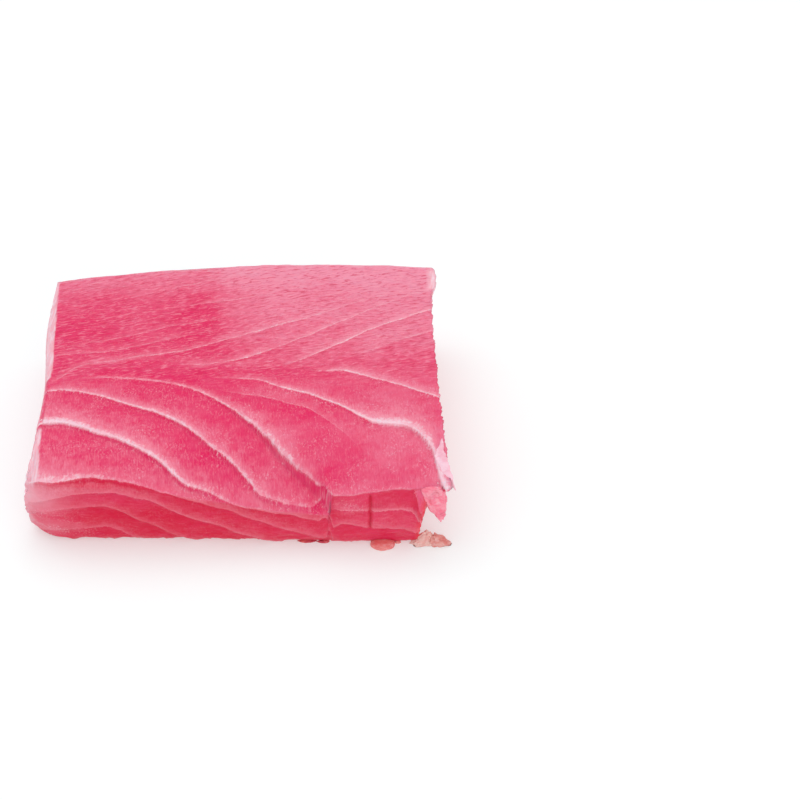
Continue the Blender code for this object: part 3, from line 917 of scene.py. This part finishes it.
def add_lips(wire, look, at, color):
    """Painted shade in front of each lip, a soft veil behind it, and the white sheet at the lip.
    """
    # Painted shade: the flesh in front of a lip darkens towards the dark colour over the shade's
    # reach, standing for the shade under the lip.
    shade = wire.times(at.shade, wire.fading(at.behind, at.shade_reach))
    color = wire.mix(shade, color, look.dark)
    reach = wire.times(wire.plus(wire.times(at.thick, 2.4), 1.5),
                       wire.rest(wire.times(at.wall, 0.4)),
                       wire.ease(at.blotch, 0.3, 0.7, 0.6, 1.4),
                       wire.ease(at.silk, 0.35, 0.65, 0.75, 1.3))
    veil = wire.times(at.white, wire.fading(at.ahead, reach), look.veiling,
                      wire.plus(wire.times(at.wall, 0.7), 1.0))
    color = wire.mix(veil, color, look.veil)
    frayed = wire.marks(at.lay, (0.8, 0.8, 0.8), 0.0, 3.0, 0.65, 0.5)
    band = wire.times(at.thick, wire.ease(frayed, 0.3, 0.7, 0.4, 1.35))
    on_lip = wire.ease(at.ahead, wire.plus(wire.times(band, 1.5), 0.2), wire.times(band, 0.3))
    over_lip = wire.ease(at.behind, wire.plus(wire.times(at.thick, 0.5), 0.22), 0.0)
    broken = wire.times(wire.ease(at.blotch, 0.36, 0.58, 0.25, 1.1),
                        wire.ease(frayed, 0.35, 0.6, 0.35, 1.2))
    whole = wire.ease(at.white, 0.7, 1.1)
    line = wire.times(wire.larger(on_lip, over_lip), at.white, look.whiteness,
                      wire.larger(broken, whole), wire.rest(wire.times(at.wall, 0.8)))
    return wire.mix(line, color, look.sinew), line


def add_edging(wire, look, at, color):
    """The pale strip along the left end, streaked lengthways, the nub, and the crack. The strip's
    pale is partly cut flesh and partly painted glow of light through the thin edge.
    """
    streaks = wire.marks(at.lay, (0.5, 5.0, 1.0), -0.08, 2.0, 0.6)
    edging = wire.mix(wire.ease(streaks, 0.35, 0.75, 0.1, 0.75), look.end, look.sinew)
    color = wire.mix(wire.times(at.strip, 0.95), color, edging)
    color = wire.mix(wire.times(at.nub, 0.9), color, edging)
    # Painted shade in the crack: it takes the front face's deepest red.
    return wire.mix(at.crack, color, look.wall)


def add_flecks_and_glints(wire, look, at, color):
    """Pale flecks and scratches: partly marks in the flesh, partly painted glints of light."""
    scratches = wire.marks(at.lay, (0.3, 1.1, 0.9), -0.25, 2.0, 0.55, 0.7)
    specks = wire.marks(at.lay, (0.5, 0.65, 0.5), 0.0, 2.0, 0.6, 0.8)
    dense = wire.ease(wire.marks(at.lay, (7.0, 5.0, 5.0), 0.0, 2.0, 0.5), 0.4, 0.65)
    to_lip = wire.math("MINIMUM", at.ahead, at.behind)
    burrs = wire.times(wire.fading(to_lip, 0.7), at.white, 2.0)
    # Painted glints: these pale flecks stand in part for small glints of light on the wet
    # surface.
    flecks_and_glints = wire.larger(wire.times(wire.ease(scratches, 0.62, 0.76), 0.7),
                         wire.times(wire.ease(specks, 0.5, 0.75), wire.plus(dense, burrs)))
    flecks_and_glints = wire.times(flecks_and_glints, wire.plus(0.12, wire.times(at.front, 0.16)),
                        wire.plus(wire.rest(wire.times(at.wall, 0.7)), wire.times(at.torn, 1.6)))
    return wire.mix(flecks_and_glints, color, look.sinew), flecks_and_glints


def flesh_material(look):
    """Moist flesh, layer over layer, from the looks that the mesh stores."""
    material, wire, shader = new_material("raw_tuna_flesh")
    at = flake_sockets(wire)
    color = add_ground(wire, look, at)
    color, fibres = add_fibres(wire, look, at, color)
    color, line = add_lips(wire, look, at, color)
    color = add_edging(wire, look, at, color)
    color, flecks_and_glints = add_flecks_and_glints(wire, look, at, color)
    height = wire.plus(fibres, wire.times(at.mottle, 0.8), wire.times(line, 0.25),
                       wire.times(flecks_and_glints, 0.4))
    wire.feed(shader, {
        "Base Color": color, "Normal": wire.bump(height, look.relief),
        "Roughness": wire.ease(at.mottle, 0.3, 0.7, look.roughness - 0.07, look.roughness + 0.07),
        "Subsurface Weight": look.glow, "Subsurface Radius": (1.0, 0.3, 0.25),
        "Subsurface Scale": 0.0025, "IOR": 1.38, "Specular IOR Level": look.gloss,
        "Coat Weight": look.moisture, "Coat Roughness": 0.22})
    return material


def tissue_material(name, first, second, stretch, relief):
    """Torn tissue: two colours in soft patches, with fine strands that lie along X."""
    material, wire, shader = new_material(name)
    place = wire.node("TexCoord", output=3)
    size = (0.6 * MM * stretch, 0.6 * MM, 0.6 * MM)
    light, dark, height = strands(wire, place, size, 0.2, 0.5)
    patches = wire.marks(place, (2.2 * MM, 1.8 * MM, 1.8 * MM), 0.0, 2.0, 0.5, 0.6)
    color = wire.mix(wire.ease(patches, 0.35, 0.65), first, second)
    color = wire.mix(wire.times(light, 0.25), color, TISSUE_LIGHT)
    color = wire.mix(wire.times(dark, 0.1), color, TISSUE_DARK)
    wire.feed(shader, {
        "Base Color": color, "Normal": wire.bump(wire.plus(height, patches), relief),
        "Roughness": 0.3, "Specular IOR Level": 0.35, "Subsurface Weight": 0.12,
        "Subsurface Radius": (1.0, 0.4, 0.35), "Subsurface Scale": 0.002})
    return material


# --- torn pieces at the edges ---

def build_fringe(look):
    """The white sheet that stands out from the right edge and hangs off its front corner."""
    mesh = bmesh.new()
    bmesh.ops.create_grid(mesh, x_segments=140, y_segments=24, size=0.5)
    unit = np.array([vert.co[:] for vert in mesh.verts])
    along, out = unit[:, 0] + 0.5, unit[:, 1] + 0.5
    y, inner, outer, lift = (through([(row[0], row[n]) for row in FRINGE], along)
                             for n in range(1, 5))
    ragged = grain(along * 15.0, 0.5, 21) + 0.6 * grain(along * 32.0, out, 22)
    frayed = ramp(along, 0.85, 1.0) * grain(out * 5.0, along * 3.0, 23)
    x = inner + (outer - inner) * out + look.raggedness * ragged * (out - 0.35)
    y = y - 0.9 * frayed + 0.4 * grain(along * 14.0, out * 2.0, 24) * (0.2 + out)
    on_flesh = np.minimum(x, right_end(y, 1.0) - 0.3)
    bed = surface(on_flesh, np.maximum(y, -42.6), front_line(x, 1.0))[0]
    crease = 0.12 * grain(out * 3.0, along * 8.0, 25) + 0.05 * grain(out * 7.0, along * 20.0, 26)
    z = bed + lift + 0.2 + crease - 0.7 * (1.0 - out) ** 3
    move(mesh, np.stack([x, y, z], axis=1))
    bmesh.ops.solidify(mesh, geom=mesh.verts[:] + mesh.edges[:] + mesh.faces[:],
                       thickness=look.thickness)
    bmesh.ops.recalc_face_normals(mesh, faces=mesh.faces)
    material = tissue_material("white_sinew", look.sinew, look.pink, 3.0, look.relief)
    piece = finished("edge_fringe", mesh, material)
    piece.data.set_sharp_from_angle(angle=math.radians(50.0))
    return piece


def build_fibres(look):
    """Short torn fibres along the right edge of the top and round its front left corner."""
    chance = np.random.default_rng(31)
    mesh = bmesh.new()
    for side, start, stop in FIBRE_RUNS:
        for y in np.arange(start, stop, look.spacing):
            y = y + chance.uniform(-0.5, 0.5)
            up = 1.0 - chance.uniform(0.0, 3.0) / HEIGHT
            length = look.length * chance.uniform(0.5, 1.2) * MM
            sway = Matrix.Rotation(chance.uniform(-0.6, 0.6), 4, "Z")
            at = np.array([y])
            edge = right_end(at, up) if side > 0 else left_end(at, up)
            top = surface(edge, at, front_line(edge, 1.0))[0]
            base = placed(np.stack([edge - side * 0.3, at, top * up - 0.2], axis=1))[0]
            tilt = Matrix.Rotation(side * (math.pi / 2.0 + 0.25), 4, "Y")
            bmesh.ops.create_cone(mesh, cap_ends=True, segments=6, radius1=0.3 * MM,
                                  radius2=0.08 * MM, depth=length,
                                  matrix=Matrix.Translation(base) @ sway @ tilt
                                  @ Matrix.Translation((0.0, 0.0, length / 2.0)))
    bmesh.ops.recalc_face_normals(mesh, faces=mesh.faces)
    material = tissue_material("torn_fibres", look.pink, look.sinew, 2.0, look.relief)
    return finished("edge_fibres", mesh, material)


def lump(mesh, middle, half, seed, roughness, taper, leaning):
    """A torn lump of tissue about its middle, flat where it meets the board or the lip."""
    ball = bmesh.ops.create_icosphere(mesh, subdivisions=5, radius=1.0)
    offset = Vector((seed * 3.7, seed * 1.3, -seed * 2.1))
    for vert in ball["verts"]:
        spot = vert.co * 1.7 + offset
        place = vert.co * (1.0 + roughness * (noise.noise(spot) + 0.5 * noise.noise(spot * 2.6)))
        breadth = 1.0 + taper * place.z
        height = middle[2] + half[2] * place.z
        point = Vector((middle[0] + half[0] * place.x * breadth + leaning * place.z,
                        middle[1] + half[1] * place.y * breadth,
                        min(max(height, SCRAP_FOOT), TAG_TOP)))
        vert.co = placed(np.array([point]))[0]


def build_scraps(look):
    """The torn tag under the front right corner, and the scraps at its foot."""
    for seed, (name, first, second, lumps) in enumerate((
            ("torn_tag", look.tag, look.tag_pale, TAG),
            ("tan_scrap", look.tan, look.tan_pale, TAN_SCRAP),
            ("red_scrap", look.core, look.tan, RED_SCRAP),
            ("drop_scrap", look.drop, look.drop_pale, DROP_SCRAP),
            ("foot_shreds", look.shred, look.drop, SHREDS))):
        mesh = bmesh.new()
        for n, (middle, half, roughness, taper, leaning) in enumerate(lumps):
            lump(mesh, middle, half, 7 * seed + n, roughness, taper, leaning)
        finished(name, mesh, tissue_material(name, first, second, 1.5, look.relief))


# --- stage ---

def build_camera(studio):
    """A camera in front of the block and above it."""
    data = bpy.data.cameras.new("studio_camera")
    data.sensor_width = 36.0
    data.lens = studio.lens
    data.clip_start = 0.01
    data.clip_end = 20.0
    camera = bpy.data.objects.new("studio_camera", data)
    rise = studio.elevation
    aim = Vector((studio.aim_x, studio.aim_y, 0.0))
    camera.location = aim + studio.distance * Vector((0.0, -math.cos(rise), math.sin(rise)))
    camera.rotation_euler = (math.pi / 2.0 - rise, 0.0, 0.0)
    bpy.context.scene.collection.objects.link(camera)
    bpy.context.scene.camera = camera


def add_softbox(name, place, target, size, power):
    """A rectangular light that faces its target."""
    data = bpy.data.lights.new(name, "AREA")
    data.shape = "RECTANGLE"
    data.size, data.size_y = size
    data.energy = power
    lamp = bpy.data.objects.new(name, data)
    lamp.location = place
    facing = (Vector(target) - Vector(place)).to_track_quat("-Z", "Y")
    lamp.rotation_euler = facing.to_euler()
    bpy.context.scene.collection.objects.link(lamp)


def build_floor(studio):
    """The pale board, wider than the camera sees."""
    mesh = bmesh.new()
    bmesh.ops.create_grid(mesh, x_segments=1, y_segments=1, size=4.0)
    data = bpy.data.meshes.new("studio_floor")
    mesh.to_mesh(data)
    mesh.free()
    material, wire, shader = new_material("pale_board")
    wire.feed(shader, {"Base Color": studio.floor, "Roughness": 0.9, "Specular IOR Level": 0.1,
                       "Emission Color": (1.0, 1.0, 1.0),
                       "Emission Strength": studio.floor_light})
    data.materials.append(material)
    floor = bpy.data.objects.new("studio_floor", data)
    bpy.context.scene.collection.objects.link(floor)


def build_world(studio):
    """Even white light from all round."""
    world = bpy.data.worlds.new("studio_air")
    world.use_nodes = True
    back = world.node_tree.nodes["Background"]
    back.inputs["Color"].default_value = (1.0, 1.0, 1.0, 1.0)
    back.inputs["Strength"].default_value = studio.air
    bpy.context.scene.world = world


def build_studio(studio):
    """Floor, light, camera, and a view that keeps the flesh's full pinks."""
    build_floor(studio)
    build_world(studio)
    build_camera(studio)
    add_softbox("softbox_above", (-0.15, 0.25, 0.9), (0.0, 0.0, 0.0), (0.9, 0.7), studio.key)
    add_softbox("softbox_front", (0.35, -0.9, 0.5), (0.0, 0.0, 0.01), (0.6, 0.4), studio.fill)
    bpy.context.scene.view_settings.view_transform = "Standard"


# --- settings, steps and panel ---

def tint(name, description, default):
    return FloatVectorProperty(name=name, description=description, default=default, size=3,
                               subtype="COLOR", min=0.0, max=1.0)


def cut_count(name, description, default, least):
    return IntProperty(name=name, description=description, default=default, min=least)


def amount(name, description, default, **limits):
    return FloatProperty(name=name, description=description, default=default, **limits)


def fraction(name, description, default):
    return amount(name, description, default, min=0.0, max=1.0)


class FleshLook(bpy.types.PropertyGroup):
    """Fineness and finish of the flesh."""
    cuts_across: cut_count("Cuts across", "Cuts of the mesh along X", CUTS[0], 20)
    cuts_deep: cut_count("Cuts deep", "Cuts of the mesh along Y", CUTS[1], 20)
    cuts_up: cut_count("Cuts up", "Cuts of the mesh along Z", CUTS[2], 8)
    deep: tint("Deep flesh", "The fullest pink of the flesh", (0.75, 0.011, 0.110))
    # Pale flesh: the palest tone, which also gives the painted sheen towards the back of the top.
    pale: tint("Pale flesh", "The palest pink of the flesh", (0.85, 0.265, 0.385))
    wall: tint("Front face", "Deepest flesh of the front face", (0.66, 0.004, 0.042))
    face: tint("Front layers", "Its paler layers", (0.76, 0.045, 0.13))
    # Left end: pale cut flesh, partly painted glow of light through its thin edges; the strip and
    # the blooms take it too.
    end: tint("Left end", "The pale cut at the left end", (0.87, 0.42, 0.50))
    raw: tint("Right end", "The red cut at the right end", (0.80, 0.04, 0.06))
    # Dark: the dark strokes between fibres, partly painted shade in those gaps, and the painted
    # shade in front of each lip.
    dark: tint("Dark flesh", "Gaps between fibres and under the lips", (0.63, 0.012, 0.075))
    veil: tint("Veil", "The pale bloom behind a lip", (0.90, 0.36, 0.46))
    sinew: tint("Sinew", "The white sheets between the flakes", (0.93, 0.78, 0.86))
    fibre: amount("Fibres", "How strongly the fibres show", 1.0, min=0.0, max=2.0)
    whiteness: fraction("Whiteness", "Of the sheets at the lips", 0.5)
    veiling: fraction("Veiling", "Strength of the bloom behind a lip", 0.85)
    roughness: fraction("Roughness", "Roughness of the moist surface", 0.36)
    relief: amount("Relief", "Depth of the fibres' relief", 0.25 * MM, min=0.0, unit="LENGTH")
    glow: fraction("Glow", "How far light soaks into the flesh", 0.3)
    gloss: fraction("Gloss", "Strength of the surface's own gloss", 0.22)
    moisture: fraction("Moisture", "Film of moisture on the surface", 0.05)


class FringeLook(bpy.types.PropertyGroup):
    """The white sheet and the torn fibres at the edges."""
    sinew: tint("Sinew", "The white of the sheet", (0.98, 0.60, 0.71))
    pink: tint("Pink", "The pink that shows through it", (0.93, 0.44, 0.55))
    thickness: amount("Thickness", "Thickness of the sheet", 0.25 * MM, min=0.0, unit="LENGTH")
    raggedness: amount("Raggedness", "How far its edge is torn, in mm", 0.45, min=0.0)
    spacing: amount("Spacing", "Between two fibres, in mm", 1.3, min=0.2)
    length: amount("Length", "Of a torn fibre, in mm", 0.7, min=0.1)
    relief: amount("Relief", "Depth of the fine relief", 0.03 * MM, min=0.0, unit="LENGTH")


class ScrapLook(bpy.types.PropertyGroup):
    """Colours of the torn scraps at the front right corner."""
    tag: tint("Tag", "The torn tag", (0.93, 0.17, 0.27))
    tag_pale: tint("Pale tag", "Its paler patches", (0.95, 0.32, 0.41))
    tan: tint("Tan scrap", "The tan flesh at the foot", (0.80, 0.38, 0.34))
    tan_pale: tint("Pale tan", "Its paler patches", (0.84, 0.52, 0.47))
    core: tint("Red scrap", "The red flesh beside it", (0.70, 0.20, 0.18))
    drop: tint("Drop", "The drop of flesh at the foot", (0.80, 0.17, 0.17))
    drop_pale: tint("Pale drop", "Its paler patches", (0.83, 0.26, 0.25))
    shred: tint("Shreds", "Dark shreds along the foot", (0.58, 0.05, 0.09))
    relief: amount("Relief", "Depth of the fine relief", 0.08 * MM, min=0.0, unit="LENGTH")


class StudioLook(bpy.types.PropertyGroup):
    """Camera, lights and floor."""
    elevation: amount("Elevation", "Camera's height above the horizon", math.radians(40.0),
                      subtype="ANGLE")
    distance: amount("Distance", "From the camera to where it aims", 0.59, unit="LENGTH")
    aim_x: amount("Aim X", "Where the camera aims, along X", 0.0451, unit="LENGTH")
    aim_y: amount("Aim Y", "Where the camera aims, along Y", 0.0189, unit="LENGTH")
    lens: amount("Lens", "Focal length", 90.0, unit="CAMERA")
    key: amount("Key light", "Power of the softbox above", 2.4, unit="POWER")
    fill: amount("Fill light", "Power of the softbox in front", 1.5, unit="POWER")
    air: amount("Air", "Strength of the light from all round", 0.8, min=0.0)
    floor: tint("Floor", "The pale board that the steak lies on", (0.62, 0.66, 0.66))
    floor_light: amount("Floor light", "Light that the board gives off", 0.36, min=0.0)


class TUNA_OT_flesh(bpy.types.Operator):
    """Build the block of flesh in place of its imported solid"""
    bl_idname = "tuna.flesh"
    bl_label = "Flesh"

    def execute(self, context):
        build_flesh(context.scene.tuna_flesh)
        return {"FINISHED"}


class TUNA_OT_fringe(bpy.types.Operator):
    """Build the white sheet and the torn fibres at the edges"""
    bl_idname = "tuna.fringe"
    bl_label = "Fringe and fibres"

    def execute(self, context):
        build_fringe(context.scene.tuna_fringe)
        build_fibres(context.scene.tuna_fringe)
        return {"FINISHED"}


class TUNA_OT_scraps(bpy.types.Operator):
    """Build the torn tag and the scraps at its foot"""
    bl_idname = "tuna.scraps"
    bl_label = "Scraps"

    def execute(self, context):
        build_scraps(context.scene.tuna_scraps)
        return {"FINISHED"}


class TUNA_OT_studio(bpy.types.Operator):
    """Build the floor, the lights and the camera"""
    bl_idname = "tuna.studio"
    bl_label = "Studio"

    def execute(self, context):
        build_studio(context.scene.tuna_studio)
        return {"FINISHED"}


class TUNA_PT_steps(bpy.types.Panel):
    """The steps that build the steak, and what can be set"""
    bl_idname = "TUNA_PT_steps"
    bl_label = "Raw tuna steak"
    bl_space_type = "VIEW_3D"
    bl_region_type = "UI"
    bl_category = "Tuna"

    def draw(self, context):
        for step, group in STEPS:
            box = self.layout.box()
            box.operator(step)
            look = getattr(context.scene, group)
            for name in look.bl_rna.properties.keys():
                if name not in {"rna_type", "name"}:
                    box.prop(look, name)


STEPS = (("tuna.flesh", "tuna_flesh"), ("tuna.fringe", "tuna_fringe"),
         ("tuna.scraps", "tuna_scraps"), ("tuna.studio", "tuna_studio"))
LOOKS = {"tuna_flesh": FleshLook, "tuna_fringe": FringeLook, "tuna_scraps": ScrapLook,
         "tuna_studio": StudioLook}
CLASSES = (FleshLook, FringeLook, ScrapLook, StudioLook, TUNA_OT_flesh, TUNA_OT_fringe,
           TUNA_OT_scraps, TUNA_OT_studio, TUNA_PT_steps)


def register():
    for each in CLASSES:
        bpy.utils.register_class(each)
    for name, group in LOOKS.items():
        setattr(bpy.types.Scene, name, PointerProperty(type=group))


def unregister():
    for name in LOOKS:
        delattr(bpy.types.Scene, name)
    for each in reversed(CLASSES):
        bpy.utils.unregister_class(each)


def main():
    register()
    bpy.ops.tuna.flesh()
    bpy.ops.tuna.fringe()
    bpy.ops.tuna.scraps()
    bpy.ops.tuna.studio()


if __name__ == "__main__":
    main()
